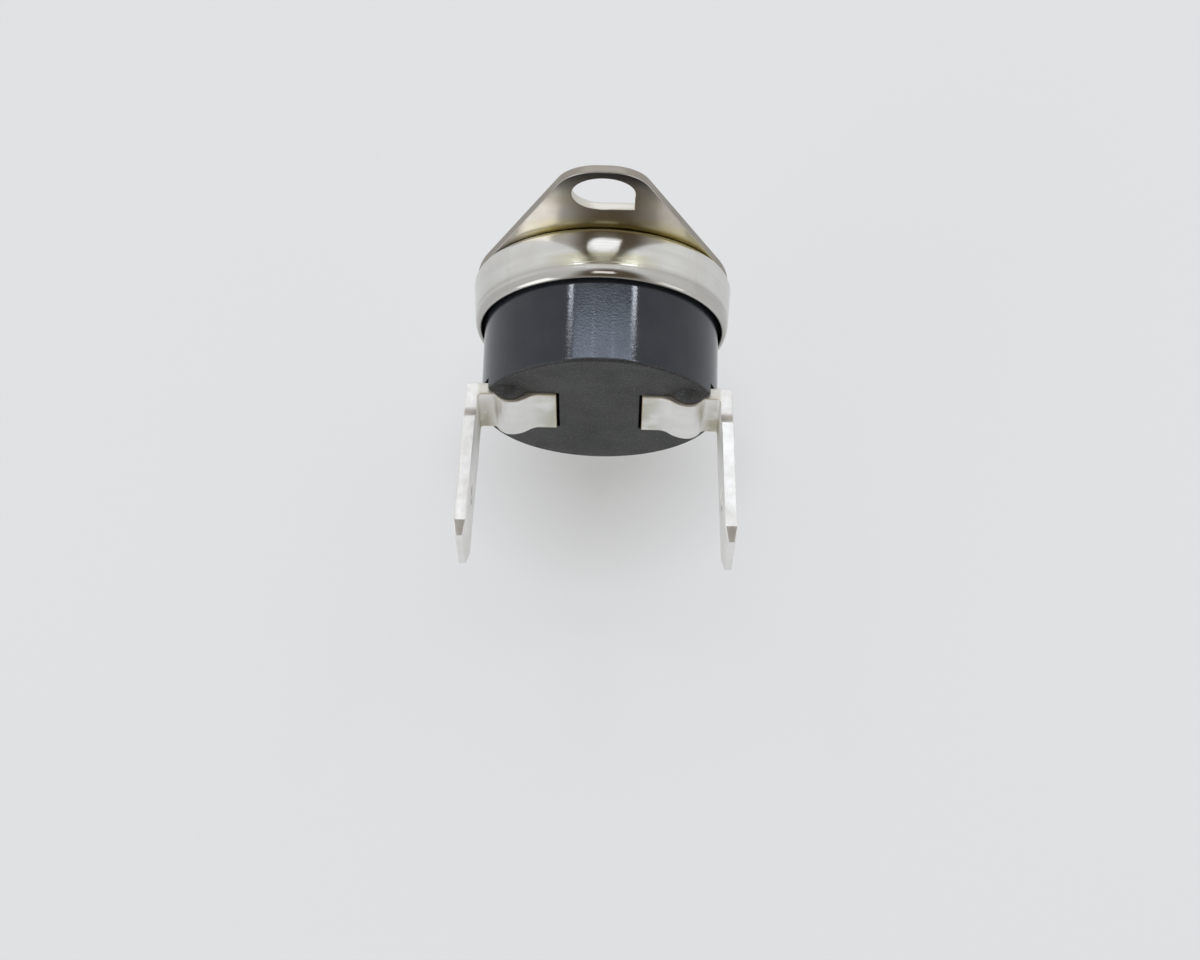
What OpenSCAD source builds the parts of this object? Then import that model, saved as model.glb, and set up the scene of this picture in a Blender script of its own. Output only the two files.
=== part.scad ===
// Snap-action heat sensor with a two-ear mounting plate and two tab terminals.
// A dished bimetal disc under the metal cap snaps over when it gets hot and
// pushes a ceramic pin, which lifts a leaf spring off its fixed contact.
//
// Frame: the origin is the centre of the seating face, which lies against the
// watched surface. +Y points into that surface, the terminals point to -Y and
// the ears lie along Z. Inside the modules z is the height above the seating
// face, towards the terminals, and y is the up direction of the finished part.

/* [Case] */
// Diameter of the moulded case where it shows
case_d = 15.8; // [14.6:0.1:18]
// Height of the terminal end of the case above the seating face
case_top = 10.05; // [9.6:0.05:12]
// How far the shoulder that the cap is crimped over stands out of the case
shoulder_step = 0.3; // [0.2:0.05:0.35]
// Height of that shoulder above the cap's shelf
shoulder_h = 2.45; // [2.2:0.05:2.8]
// Radius of the edge round the terminal end
case_edge_r = 0.2; // [0.1:0.05:0.6]
// Length of the rounded cheeks beside each terminal's hump
cheek_l = 2.1; // [1.6:0.1:2.2]
// Height of those cheeks
cheek_h = 0.55; // [0.3:0.05:0.6]
// Thickness of the case floor that carries the terminals
floor_t = 2.05; // [1.8:0.05:2.4]
// Thickness of the case wall round the contact chamber
case_wall = 1.7; // [1.4:0.1:1.9]
// Room between the disc's rim and the bore that it lies in
disc_room = 0.65; // [0.5:0.05:0.7]

/* [Cap] */
// Thickness of the cap's sheet
cap_t = 0.3; // [0.2:0.05:0.4]
// Inside radius of the cap's bend beside the plate
cap_bend_r = 0.1; // [0.05:0.05:0.2]
// Taper of the cap's wall towards the rim, in degrees
cap_taper = 4; // [2:0.5:5]
// How far the rim stands past the shoulder
rim_over = 0.7; // [0.6:0.05:0.9]
// Slope of the crimped rim, in degrees
crimp_angle = 28; // [22:1:34]
// Outside radius of the crimp
crimp_r = 1.4; // [1.2:0.1:1.6]
// How far the seating face stands out behind the plate
boss_proud = 0.2; // [0.1:0.05:0.4]

/* [Mounting plate] */
// Thickness of the plate
plate_t = 0.55; // [0.4:0.05:1]
// How far the edge of the plate's round middle stays inside the cap's wall
plate_inset = 0.25; // [0.1:0.05:0.4]
// Distance between the centres of the two screw holes
hole_pitch = 26; // [25:0.1:30]
// Diameter of the screw holes
hole_d = 4.1; // [3.2:0.1:4.4]
// Distance from a screw hole's centre to the end of its ear
ear_end = 2.85; // [2.6:0.05:4]
// Width of an ear's tip before its corners are rounded
tip_w = 4.3; // [3.8:0.1:6]
// Radius of an ear's corners
tip_r = 2.8; // [0.6:0.1:3]
// Share of the hole's radius that its square corner reaches, each way
notch_reach = 0.98; // [0.9:0.01:0.99]

/* [Terminals] */
// Thickness of the terminal strip
tab_t = 0.8; // [0.6:0.05:0.9]
// Width of the tab that a push-on connector takes
tab_w = 6.3; // [5.8:0.1:6.6]
// Width of the strip where it lies on the case
base_w = 5.3; // [4.6:0.1:5.6]
// How far the strip's face stands out of the case
base_proud = 0.15; // [0.05:0.05:0.3]
// Flat length of the strip before its hump
base_flat = 1.1; // [1:0.05:1.3]
// Length of the hump's gentle side, towards the middle of the part
hump_rise_l = 2; // [1.7:0.05:2.1]
// Length of the hump's steep side, towards the bend
hump_fall_l = 1.15; // [1.05:0.05:1.3]
// Height of the hump
hump_h = 0.58; // [0.3:0.02:0.66]
// Flat length between the hump and the bend
after_hump = 0.7; // [0.5:0.05:0.8]
// Inside radius of the bend
bend_r = 0.2; // [0.1:0.05:0.3]
// Radius of the bend's outside corner, which is struck nearly square
bend_corner_r = 0.2; // [0.1:0.05:0.6]
// Outward lean of the tab, in degrees
tab_lean = 2.4; // [0:0.2:4]
// Height of the tab's shoulders above the case
tab_shoulder = 1.95; // [1.6:0.05:2.6]
// Radius of the scoops under those shoulders
scoop_r = 1; // [0.5:0.1:1.2]
// Height of the tab's tip above the case
tab_reach = 10.2; // [8:0.1:12]
// Length of the chamfers at the tip
tip_chamfer_l = 0.9; // [0.4:0.1:1.2]
// Width of the chamfers at the tip
tip_chamfer_w = 0.6; // [0.3:0.1:1]
// Thickness that the tab's faces are chamfered to at the tip
tip_t = 0.45; // [0.3:0.05:0.6]
// Diameter of the connector's detent hole
detent_d = 1.7; // [1.4:0.1:2]
// Distance from the tip to the detent hole
detent_from_tip = 4.1; // [3.4:0.1:4.6]

/* [Snap disc and pin] */
// Diameter of the bimetal disc
disc_d = 12.7; // [12:0.1:13]
// Thickness of the bimetal disc
disc_t = 0.2; // [0.15:0.05:0.25]
// Dish of the disc, from its rim to its middle
disc_dish = 0.2; // [0.15:0.01:0.24]
// Width of the cap's shelf that the disc's rim rests on
disc_seat = 0.25; // [0.2:0.05:0.4]
// Diameter of the pin
pin_d = 2; // [1.6:0.1:2.2]
// Thickness of the guide plate
guide_t = 1; // [0.8:0.1:1.2]
// Wall of the collar that guides the pin
collar_wall = 0.95; // [0.7:0.05:1]
// Height of that collar
collar_h = 0.8; // [0.5:0.1:1]

/* [Contacts] */
// Depth of the leaf spring below the floor that carries the terminals
leaf_drop = 3.05; // [2.9:0.05:3.2]
// Thickness of the leaf spring
leaf_t = 0.2; // [0.15:0.05:0.3]
// Width of the leaf spring between its round ends
leaf_w = 2.4; // [1.8:0.1:2.8]
// Distance from the inner end of the left terminal to the leaf's stud
leaf_stud_in = 1.05; // [1:0.05:1.2]
// Distance from the inner end of the right terminal to the bracket's stud
bracket_stud_in = 0.85; // [0.8:0.05:0.95]
// Diameter of the contact faces
contact_d = 2.4; // [2:0.1:2.6]
// Thickness of a contact's face
contact_t = 0.5; // [0.4:0.05:0.55]
// Distance from the bracket's outer face to the contacts' middle
contact_in = 2.15; // [2.1:0.05:2.3]
// Thickness of the fixed contact's bracket
bracket_t = 0.5; // [0.4:0.05:0.55]
// Width of that bracket
bracket_w = 3; // [2.6:0.1:3.2]
// Gap between the bracket and the chamber's wall
bracket_gap = 0.5; // [0.4:0.05:0.6]
// Diameter of the studs that hold the terminals
stud_d = 1.7; // [1.4:0.1:1.8]
// Diameter of the studs' heads
head_d = 2.3; // [2.1:0.1:2.4]
// Thickness of the studs' heads
head_t = 0.6; // [0.4:0.05:0.7]
// Diameter of the washer under the leaf stud's head
washer_d = 2.7; // [2.5:0.1:2.8]
// Thickness of that washer
washer_t = 0.3; // [0.2:0.05:0.35]

/* [Clearances] */
// Gap round pieces that are pushed into place
fit_gap = 0.05; // [0.02:0.01:0.08]
// Gap between the shoulder's edge and the cap's wall
cap_gap = 0.05; // [0.03:0.01:0.1]
// Gap between the case's side and the plane of the tab's inner face
tab_gap = 0.1; // [0.05:0.05:0.4]
// Gap between the strip's sides and the slot in the case
slot_gap = 0.08; // [0.05:0.01:0.12]
// Gap between the strip's inner end and the bridge of the case
end_gap = 0.2; // [0.1:0.05:0.3]
// Play of the disc's rim, and of the pin between the disc and the leaf
play = 0.05; // [0.03:0.01:0.08]
// Gap between faces that meet when the contacts are closed
touch = 0.02; // [0.01:0.01:0.03]

/* [Hidden] */
$fn = 96;
// A cut that runs past a face runs past it by this much
over = 0.5;
// Flats in each bend of a bent sheet
bend_steps = 8;

// Radius of the dished disc. It rests on the shelf's inner edge, which lifts
// its rim off the shelf by this much.
disc_r = (pow(disc_d / 2, 2) + disc_dish * disc_dish) / (2 * disc_dish);
boss_d = disc_d - 2 * disc_seat;
boss_in = boss_d / 2 - cap_t;
disc_lift = (pow(disc_d / 2, 2) - boss_in * boss_in) / (2 * disc_r);

// Heights above the seating face
plate_z = boss_proud;
plate_front = plate_z + plate_t;
shelf_z = plate_front + cap_t;
shoulder_z = shelf_z + shoulder_h;
rim_z = shoulder_z + rim_over;
disc_rim_z = shelf_z + disc_t + disc_lift + touch;
guide_rim_z = disc_rim_z + play;
guide_face_z = disc_rim_z + 2 * disc_dish + play;
guide_back_z = guide_face_z + guide_t;
floor_z = case_top - floor_t;
slot_z = case_top + base_proud - tab_t;
leaf_z = floor_z - leaf_drop;
pin_foot = disc_rim_z - disc_dish + play;
pin_tip = leaf_z - touch;
fixed_face_z = leaf_z - contact_t - touch;
bracket_top_z = fixed_face_z - contact_t - bracket_t;

// Case, from its outside in
shoulder_r = case_d / 2 + shoulder_step;
chamber_d = case_d - 2 * case_wall;
guide_bore_d = disc_d + 2 * disc_room;

// Cap section: its wall, its bend beside the plate and its crimp
cap_r = shoulder_r + cap_gap + cap_t / cos(cap_taper)
    + (shoulder_z - plate_front) * tan(cap_taper);
cap_bend_out = cap_bend_r + cap_t;
crimp_z = rim_z - crimp_r * (sin(crimp_angle) - sin(cap_taper));
cap_bend_c = [cap_wall_r(plate_front + cap_bend_out)
              - cap_bend_out / cos(cap_taper), plate_front + cap_bend_out];
crimp_c = [cap_wall_r(crimp_z), crimp_z]
    - crimp_r * [cos(cap_taper), sin(cap_taper)];

// Plate outline: each flank leaves the round middle at this angle from +X
plate_d = 2 * (cap_r - plate_inset);
plate_l = hole_pitch + 2 * ear_end;
flank_reach = norm([tip_w / 2, plate_l / 2]);
flank_angle = atan2(plate_l, tip_w) - acos(plate_d / 2 / flank_reach);

// Hump of the terminal strip: two equal bends up and two down, by inside radius
rise_angle = 2 * atan(hump_h / hump_rise_l);
rise_r = hump_rise_l / 2 / sin(rise_angle) - tab_t / 2;
fall_angle = 2 * atan(hump_h / hump_fall_l);
fall_r = hump_fall_l / 2 / sin(fall_angle) - tab_t / 2;
bend_angle = 90 - tab_lean;
// Places along the strip, from the middle of the part
bend_x = case_d / 2 + tab_gap + tab_t - (bend_r + tab_t) * sin(bend_angle);
hump_x = bend_x - after_hump - hump_fall_l;
base_start = hump_x - hump_rise_l - base_flat;
leaf_stud_x = base_start + leaf_stud_in;
bracket_stud_x = base_start + bracket_stud_in;
bracket_x = chamber_d / 2 - bracket_gap;
contact_x = bracket_x - contact_in;
// Length of the tab from its bend to its chamfers, how fast these close in, and
// the length that the leaning strip runs past the tip before it is cut level
tip_z = case_top + tab_reach;
tab_run = (tip_z - tip_chamfer_l - slot_z
    - (bend_r + tab_t) * (1 - cos(bend_angle))) / sin(bend_angle);
tip_slope = (tab_t - tip_t) / 2 / tip_chamfer_l;
tip_over = 0.1;
// Room round the strip at the outer end of its slot, below it and beside it
relief_depth = 0.25;
relief_side = 0.2;

// Land at the disc's rim that the guide plate presses on
rim_land = 0.5;
// Chamfer at the pin's ends
pin_chamfer = 0.3;
// Rounding of the studs' heads
head_step = 0.15;
// Rim of the leaf spring round its stud and its contact
pad_rim = 0.15;
// Contact shank, and the head that holds it behind the strip
shank_d = contact_d / 2;
shank_head_d = 0.7 * contact_d;
shank_head_t = 0.15;
// Inside radius of the bracket's bends, and its foot's reach past its stud
bracket_r = 0.3;
foot_reach = 1.1;

// Turns a piece drawn with its height along z into the finished part's frame
module seated() {
    rotate([90, 0, 0]) children();
}

// Round bar along z between two heights
module bar(d, z0, z1) {
    translate([0, 0, z0]) cylinder(d = d, h = z1 - z0);
}

// Points of an arc about c, from one angle to another
function arc(c, r, from, to) = [
    for (k = [0 : bend_steps])
        let (a = from + (to - from) * k / bend_steps)
        c + r * [cos(a), sin(a)]];

function backwards(list) = [for (k = [len(list) - 1 : -1 : 0]) list[k]];

// Direction square to a strip that runs at angle a
function square_to(a) = [-sin(a), cos(a)];

// Points along a bent strip of thickness t, at height h over its back face.
// A path is a list of [length] for a run and [inside radius, angle] for a bend,
// and a positive angle bends towards the strip's face. A third number in such a
// bend is the radius that its outside corner, on the back face, is struck to.
function strip_side(path, t, h, at = [0, 0], dir = 0, i = 0) =
    i == len(path) ? [at + h * square_to(dir)]
    : len(path[i]) == 1
    ? concat([at + h * square_to(dir)],
             strip_side(path, t, h, at + path[i][0] * [cos(dir), sin(dir)],
                        dir, i + 1))
    : let (turn = path[i][1],
           to_c = turn > 0 ? path[i][0] + t : -path[i][0],
           c = at + to_c * square_to(dir),
           end = dir + turn,
           struck = h == 0 && len(path[i]) == 3,
           r = struck ? path[i][2] : to_c - h,
           corner_c = c - (to_c - h - r) / cos(turn / 2) * square_to(dir + turn / 2))
      concat([for (k = [0 : struck ? bend_steps : bend_steps - 1])
                  corner_c - r * square_to(dir + turn * k / bend_steps)],
             strip_side(path, t, h, c - to_c * square_to(end), end, i + 1));

// A strip bent along a path in the x-z plane, of width w along y. Both faces of
// a tip that is added to its end close in by this slope.
module strip(path, t, w, tip = 0, slope = 0) {
    back = strip_side(path, t, 0);
    face = strip_side(path, t, t);
    ends = [back[len(back) - 1], face[len(face) - 1]];
    across = (ends[1] - ends[0]) / t;
    along = [across[1], -across[0]];
    rotate([90, 0, 0]) linear_extrude(w, center = true)
        polygon(concat(back,
                       tip == 0 ? [] : [ends[0] + tip * (along + slope * across),
                                        ends[1] + tip * (along - slope * across)],
                       backwards(face)));
}

/* Case */

module case_outline() {
    r = case_d / 2;
    e = case_edge_r;
    square([r, case_top - e]);
    square([r - e, case_top]);
    translate([r - e, case_top - e]) circle(e);
    polygon([[0, 0], [shoulder_r, 0], [shoulder_r, shoulder_z],
             [r, shoulder_z + shoulder_step], [0, shoulder_z + shoulder_step]]);
}

// The slot that a terminal lies in. A ridge across it stands under the gentle
// side of the strip's hump, and the slot is wider and deeper at its outer end.
module terminal_slot() {
    w = base_w + 2 * slot_gap;
    relief_w = w + 2 * relief_side;
    ridge_r = rise_r - slot_gap;
    difference() {
        translate([base_start - end_gap, -w / 2, slot_z])
            cube([case_d, w, case_top]);
        translate([hump_x, w, slot_z + hump_h - rise_r])
            rotate([90, 0, 0]) linear_extrude(2 * w) intersection() {
                circle(ridge_r);
                translate([-ridge_r, 0]) square(ridge_r);
            }
    }
    translate([hump_x + hump_fall_l, -relief_w / 2, slot_z - relief_depth])
        cube([case_d, relief_w, case_top]);
}

// Rounded cheeks beside the hump, which stop the strip moving sideways
module cheeks() {
    half = cheek_l / 2;
    r = (half * half + cheek_h * cheek_h) / (2 * cheek_h);
    w = base_w / 2 + slot_gap;
    intersection() {
        bar(case_d, case_top - touch, case_top + 2 * cheek_h);
        difference() {
            for (side = [-1, 1])
                translate([hump_x, side * w, case_top + cheek_h - r]) sphere(r);
            translate([0, -w, 0]) cube([case_d, 2 * w, 2 * case_top]);
        }
    }
}

module case_body() {
    color("#3a3c40") difference() {
        union() {
            difference() {
                rotate_extrude() case_outline();
                bar(2 * shoulder_r + over, -over, shelf_z);
                bar(guide_bore_d, 0, guide_back_z);
                bar(chamber_d, 0, floor_z);
                for (side = [0, 1]) mirror([side, 0, 0]) terminal_slot();
            }
            for (side = [0, 1]) mirror([side, 0, 0]) cheeks();
            translate([-leaf_stud_x, 0, 0])
                bar(washer_d, leaf_z + leaf_t, floor_z + over);
        }
        translate([-leaf_stud_x, 0, 0]) bar(stud_d, 0, 2 * case_top);
        translate([bracket_stud_x, 0, 0]) bar(stud_d, 0, 2 * case_top);
    }
}

/* Cap */

// Outside radius of the cap's tapered wall at height z
function cap_wall_r(z) = cap_r - (z - plate_front) * tan(cap_taper);

// Section of the cap's sheet, from the seating face out, up and round the rim,
// and then back along the inside
module cap_section() {
    polygon(concat(
        [[0, 0], [boss_d / 2, 0], [boss_d / 2, plate_front]],
        arc(cap_bend_c, cap_bend_out, -90, cap_taper),
        arc(crimp_c, crimp_r, cap_taper, crimp_angle),
        arc(crimp_c, crimp_r - cap_t, crimp_angle, cap_taper),
        arc(cap_bend_c, cap_bend_r, cap_taper, -90),
        [[boss_in, shelf_z], [boss_in, cap_t], [0, cap_t]]));
}

module cap() {
    color("#b8b6ae") rotate_extrude() cap_section();
}

/* Mounting plate */

// One ear: straight flanks that run tangent from the middle to round corners
module ear_outline() {
    away = [cos(flank_angle), sin(flank_angle)];
    mirrored = [-away[0], away[1]];
    y = plate_l / 2 - tip_r;
    x = (plate_d / 2 - tip_r) / away[0] - y * tan(flank_angle);
    polygon([[0, 0], plate_d / 2 * away, [x, y] + tip_r * away, [x, y],
             [x, plate_l / 2], [-x, plate_l / 2], [-x, y],
             [-x, y] + tip_r * mirrored, plate_d / 2 * mirrored]);
    for (side = [-1, 1]) translate([side * x, y]) circle(tip_r);
}

// A screw hole with one square corner, on its lower right
module screw_hole() {
    reach = notch_reach * hole_d / 2;
    translate([0, hole_pitch / 2]) {
        circle(d = hole_d);
        translate([0, -reach]) square(reach);
    }
}

module mounting_plate() {
    color("#a39d92") translate([0, 0, plate_z]) linear_extrude(plate_t)
        difference() {
            union() {
                circle(d = plate_d);
                for (turn = [0, 180]) rotate(turn) ear_outline();
            }
            circle(d = boss_d + 2 * fit_gap);
            for (turn = [0, 180]) rotate(turn) screw_hole();
        }
}

/* Snap disc, guide and pin */

// A shallow dish of even thickness, its middle towards the seating face
module bimetal_disc() {
    color("#8f8a80")
        intersection() {
            translate([0, 0, disc_rim_z - disc_dish + disc_r]) difference() {
                sphere(disc_r + disc_t, $fn = 200);
                sphere(disc_r, $fn = 200);
            }
            bar(disc_d, 0, disc_rim_z);
        }
}

module guide_plate() {
    color("#5b4a3a") difference() {
        union() {
            bar(guide_bore_d - 2 * fit_gap, guide_rim_z, guide_back_z);
            bar(pin_d + 2 * (fit_gap + collar_wall), guide_face_z,
                guide_back_z + collar_h);
        }
        bar(disc_d - 2 * rim_land, 0, guide_face_z);
        bar(pin_d + 2 * fit_gap, 0, case_top);
    }
}

module push_pin() {
    c = pin_chamfer;
    r = pin_d / 2;
    color("#e9e4d6") rotate_extrude()
        polygon([[0, pin_foot], [r - c, pin_foot], [r, pin_foot + c],
                 [r, pin_tip - c], [r - c, pin_tip], [0, pin_tip]]);
}

/* Terminals */

// The terminal seen from the front: narrow on the case, wide from its
// shoulders up, with chamfers at the tip and the detent hole
module terminal_outline() {
    neck_z = case_top + tab_shoulder;
    scoop_x = base_w / 2 + scoop_r;
    scoop_z = neck_z - sqrt(pow(scoop_r, 2) - pow(scoop_x - tab_w / 2, 2));
    difference() {
        union() {
            translate([-base_w / 2, slot_z - over])
                square([base_w, tab_reach]);
            polygon([[-tab_w / 2, scoop_z], [tab_w / 2, scoop_z],
                     [tab_w / 2, tip_z - tip_chamfer_l],
                     [tab_w / 2 - tip_chamfer_w, tip_z],
                     [tip_chamfer_w - tab_w / 2, tip_z],
                     [-tab_w / 2, tip_z - tip_chamfer_l]]);
        }
        for (side = [-1, 1])
            translate([side * scoop_x, scoop_z]) circle(scoop_r);
        translate([0, tip_z - detent_from_tip]) circle(d = detent_d);
    }
}

// One strip: flat on the case, a hump, then the bend up into the tab
module terminal() {
    color("#d9d7d1") intersection() {
        translate([base_start, 0, slot_z])
            strip([[base_flat],
                   [rise_r, rise_angle], [rise_r, -rise_angle],
                   [fall_r, -fall_angle], [fall_r, fall_angle],
                   [after_hump], [bend_r, bend_angle, bend_corner_r],
                   [tab_run]],
                  tab_t, tab_w + over, tip_chamfer_l + tip_over, tip_slope);
        rotate([90, 0, 90]) linear_extrude(case_d) terminal_outline();
    }
}

/* Studs and contacts */

// A stud with a stepped head, from the terminal's back to the head's top
module stud(head_z) {
    bar(stud_d - 2 * touch, head_z - over, slot_z);
    bar(head_d, head_z - head_t + head_step, head_z);
    bar(head_d - 2 * head_step, head_z - head_t, head_z);
}

module leaf_stud() {
    color("#b59a5a") translate([-leaf_stud_x, 0, 0]) stud(leaf_z - washer_t);
}

module bracket_stud() {
    color("#b59a5a") translate([bracket_stud_x, 0, 0])
        stud(floor_z - bracket_t);
}

module stud_washer() {
    color("#c8b26a") translate([-leaf_stud_x, 0, 0]) difference() {
        bar(washer_d, leaf_z - washer_t, leaf_z);
        bar(stud_d, 0, case_top);
    }
}

// Plan of the leaf spring: round pads at both ends of a narrower strip
module leaf_spring() {
    color("#b87a4b") translate([0, 0, leaf_z]) linear_extrude(leaf_t)
        difference() {
            union() {
                translate([-leaf_stud_x, 0]) circle(d = washer_d + 2 * pad_rim);
                translate([contact_x, 0]) circle(d = contact_d + 2 * pad_rim);
                translate([-leaf_stud_x, -leaf_w / 2])
                    square([leaf_stud_x + contact_x, leaf_w]);
            }
            translate([-leaf_stud_x, 0]) circle(d = stud_d);
            translate([contact_x, 0]) circle(d = shank_d + 2 * touch);
        }
}

// A contact button: its face, and a shank headed over behind the strip
module contact_button(strip_t) {
    bar(contact_d, 0, contact_t);
    bar(shank_d, 0, contact_t + strip_t + shank_head_t);
    bar(shank_head_d, contact_t + strip_t, contact_t + strip_t + shank_head_t);
}

module moving_contact() {
    color("#cfcdc6") translate([contact_x, 0, fixed_face_z + touch])
        contact_button(leaf_t);
}

module fixed_contact() {
    color("#cfcdc6") translate([contact_x, 0, fixed_face_z])
        mirror([0, 0, 1]) contact_button(bracket_t);
}

// Down from the floor beside the chamber wall and back in under the leaf's end
module contact_bracket() {
    bend = bracket_r + bracket_t;
    foot_start = bracket_stud_x - foot_reach;
    foot = bracket_x - bend - foot_start;
    rise = floor_z - bracket_top_z - 2 * bend;
    shelf = bracket_x - bend - contact_x + contact_d / 2;
    color("#c8b26a") difference() {
        translate([foot_start, 0, floor_z]) mirror([0, 0, 1])
            strip([[foot], [bracket_r, 90], [rise], [bracket_r, 90], [shelf]],
                  bracket_t, bracket_w);
        translate([bracket_stud_x, 0, 0])
            bar(stud_d, floor_z - bracket_t - over, case_top);
        translate([contact_x, 0, 0]) bar(shank_d + 2 * touch, 0, fixed_face_z);
    }
}

seated() case_body();  // case
seated() cap();
seated() mounting_plate();
seated() bimetal_disc();
seated() guide_plate();
seated() push_pin();
seated() mirror([1, 0, 0]) terminal();  // left_terminal
seated() terminal();  // right_terminal
seated() leaf_stud();
seated() bracket_stud();
seated() stud_washer();
seated() leaf_spring();
seated() moving_contact();
seated() contact_bracket();
seated() fixed_contact();
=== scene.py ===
import math
import bpy
from mathutils import Matrix, Vector


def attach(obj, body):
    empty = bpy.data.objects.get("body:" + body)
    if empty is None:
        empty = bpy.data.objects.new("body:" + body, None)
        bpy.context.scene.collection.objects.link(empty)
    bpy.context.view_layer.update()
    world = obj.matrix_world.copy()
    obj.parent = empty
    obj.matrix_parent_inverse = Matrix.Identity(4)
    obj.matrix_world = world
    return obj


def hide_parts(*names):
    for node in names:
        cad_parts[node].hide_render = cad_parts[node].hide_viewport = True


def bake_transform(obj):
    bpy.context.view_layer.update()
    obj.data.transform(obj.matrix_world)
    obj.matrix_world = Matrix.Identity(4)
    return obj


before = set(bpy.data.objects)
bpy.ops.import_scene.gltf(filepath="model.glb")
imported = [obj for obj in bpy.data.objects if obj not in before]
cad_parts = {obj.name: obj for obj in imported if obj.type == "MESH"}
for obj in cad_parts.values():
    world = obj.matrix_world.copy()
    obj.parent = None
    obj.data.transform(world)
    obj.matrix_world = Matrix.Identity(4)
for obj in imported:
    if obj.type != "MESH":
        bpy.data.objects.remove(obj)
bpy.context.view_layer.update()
MM = 0.001

# Sizes of the real part in millimetres, measured from the seating face
CASE_R, CASE_TOP, CASE_EDGE = 7.9, 10.05, 0.2
SHOULDER_R, SHELF, SHOULDER = 8.2, 1.05, 3.5
CHAMBER_R, BORE_R = 6.2, 7.0
FLOOR, GUIDE_BACK, LEAF = 8.0, 2.753, 4.95
SLOT, SLOT_HALF, RELIEF_SIDE, RELIEF_DEPTH = 9.4, 2.73, 0.2, 0.25
BASE_FLAT, HUMP_RISE, HUMP_FALL, HUMP_H, AFTER_HUMP = 1.1, 2.0, 1.15, 0.58, 0.7
TAB_T, TAB_W, BASE_W, TAB_LEAN, TAB_OUT = 0.8, 6.3, 5.3, 2.4, 8.8
BEND_R, BEND_CORNER, TAB_SHOULDER, SCOOP_R = 0.2, 0.2, 12.0, 1.0
TAB_TIP, TIP_CHAMFER, TIP_NARROW, TIP_T = 20.25, 0.9, 0.6, 0.45
BEND_X = TAB_OUT - (BEND_R + TAB_T) * math.cos(math.radians(TAB_LEAN))
HUMP_X = BEND_X - AFTER_HUMP - HUMP_FALL
BASE_START = HUMP_X - HUMP_RISE - BASE_FLAT
LEAF_STUD_X, BRACKET_STUD_X, STUD_R, WASHER_R = BASE_START + 1.05, BASE_START + 0.85, 0.85, 1.35
LEAF_W, LEAF_T, CONTACT_R, PAD_RIM = 2.4, 0.2, 1.2, 0.15
PIN_R, PIN_CHAMFER, CROWN_R = 1.0, 0.3, 1.9
PLATE_BACK, PLATE_FRONT, PLATE_R = 0.2, 0.75, 8.493
EAR_END, EAR_TIP_W, EAR_TIP_R, HOLE_Z, HOLE_R = 15.85, 4.3, 2.8, 13.0, 2.05


# Hand tools of the modelling: each acts on what is selected

def put_down():
    """Leaves edit mode with nothing selected."""
    if bpy.context.object and bpy.context.object.mode != "OBJECT":
        bpy.ops.object.mode_set(mode="OBJECT")
    bpy.ops.object.select_all(action="DESELECT")


def take(piece):
    """Makes a piece the one that is worked on."""
    put_down()
    bpy.context.view_layer.objects.active = piece
    piece.select_set(True)


def started(name):
    """Names the primitive that was just added."""
    piece = bpy.context.object
    piece.name = name
    piece.data.name = name
    return piece


def mark_points(piece, wanted):
    """Selects the points that wanted(place) accepts, and goes to edit mode."""
    take(piece)
    bpy.ops.object.mode_set(mode="EDIT")
    bpy.ops.mesh.select_mode(type="VERT")
    bpy.ops.mesh.select_all(action="DESELECT")
    bpy.ops.object.mode_set(mode="OBJECT")
    for point in piece.data.vertices:
        point.select = wanted(piece.matrix_world @ point.co / MM)
    bpy.ops.object.mode_set(mode="EDIT")


def settle(piece):
    """Puts a finished piece's place into its mesh."""
    take(piece)
    bpy.ops.object.transform_apply(location=True, rotation=True, scale=True)


def outward(piece):
    """Merges doubles and turns the faces outwards."""
    take(piece)
    bpy.ops.object.mode_set(mode="EDIT")
    bpy.ops.mesh.select_all(action="SELECT")
    bpy.ops.mesh.remove_doubles(threshold=1e-7)
    bpy.ops.mesh.normals_make_consistent(inside=False)
    bpy.ops.object.mode_set(mode="OBJECT")


def combine(piece, tool, how):
    """Cuts, joins or trims a piece with a tool, which is used up."""
    take(piece)
    cut = piece.modifiers.new("cut", "BOOLEAN")
    cut.operation = how
    cut.object = tool
    cut.solver = "EXACT"
    bpy.ops.object.modifier_apply(modifier=cut.name)
    bpy.data.objects.remove(tool)


def soften(piece, width, segments=2, angle=35, smooth=30):
    """Rounds a piece's sharp edges a little and shades it smooth."""
    take(piece)
    edge = piece.modifiers.new("edge", "BEVEL")
    edge.width = width * MM
    edge.segments = segments
    edge.limit_method = "ANGLE"
    edge.angle_limit = math.radians(angle)
    edge.harden_normals = False
    bpy.ops.object.modifier_apply(modifier=edge.name)
    bpy.ops.object.shade_smooth_by_angle(angle=math.radians(smooth))
    even_shading(piece)


def even_shading(piece):
    """Lets the large faces keep their own direction beside small rounded ones."""
    weigh = piece.modifiers.new("weigh", "WEIGHTED_NORMAL")
    weigh.keep_sharp = True
    bpy.ops.object.modifier_apply(modifier=weigh.name)


def round_corner(before, corner, after, radius, steps=5):
    """Points of the arc that rounds a corner of a section."""
    a, b, c = (Vector(p) for p in (before, corner, after))
    u, v = (a - b).normalized(), (c - b).normalized()
    half = math.acos(max(-1, min(1, u.dot(v)))) / 2
    centre = b + (u + v).normalized() * (radius / math.sin(half))
    start, end = b + u * (radius / math.tan(half)), b + v * (radius / math.tan(half))
    first = math.atan2(*(start - centre).yx)
    sweep = math.atan2(*(end - centre).yx) - first
    sweep = (sweep + math.pi) % (2 * math.pi) - math.pi
    return [tuple(centre + radius * Vector((math.cos(first + sweep * k / steps), math.sin(first + sweep * k / steps))))
            for k in range(steps + 1)]


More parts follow.
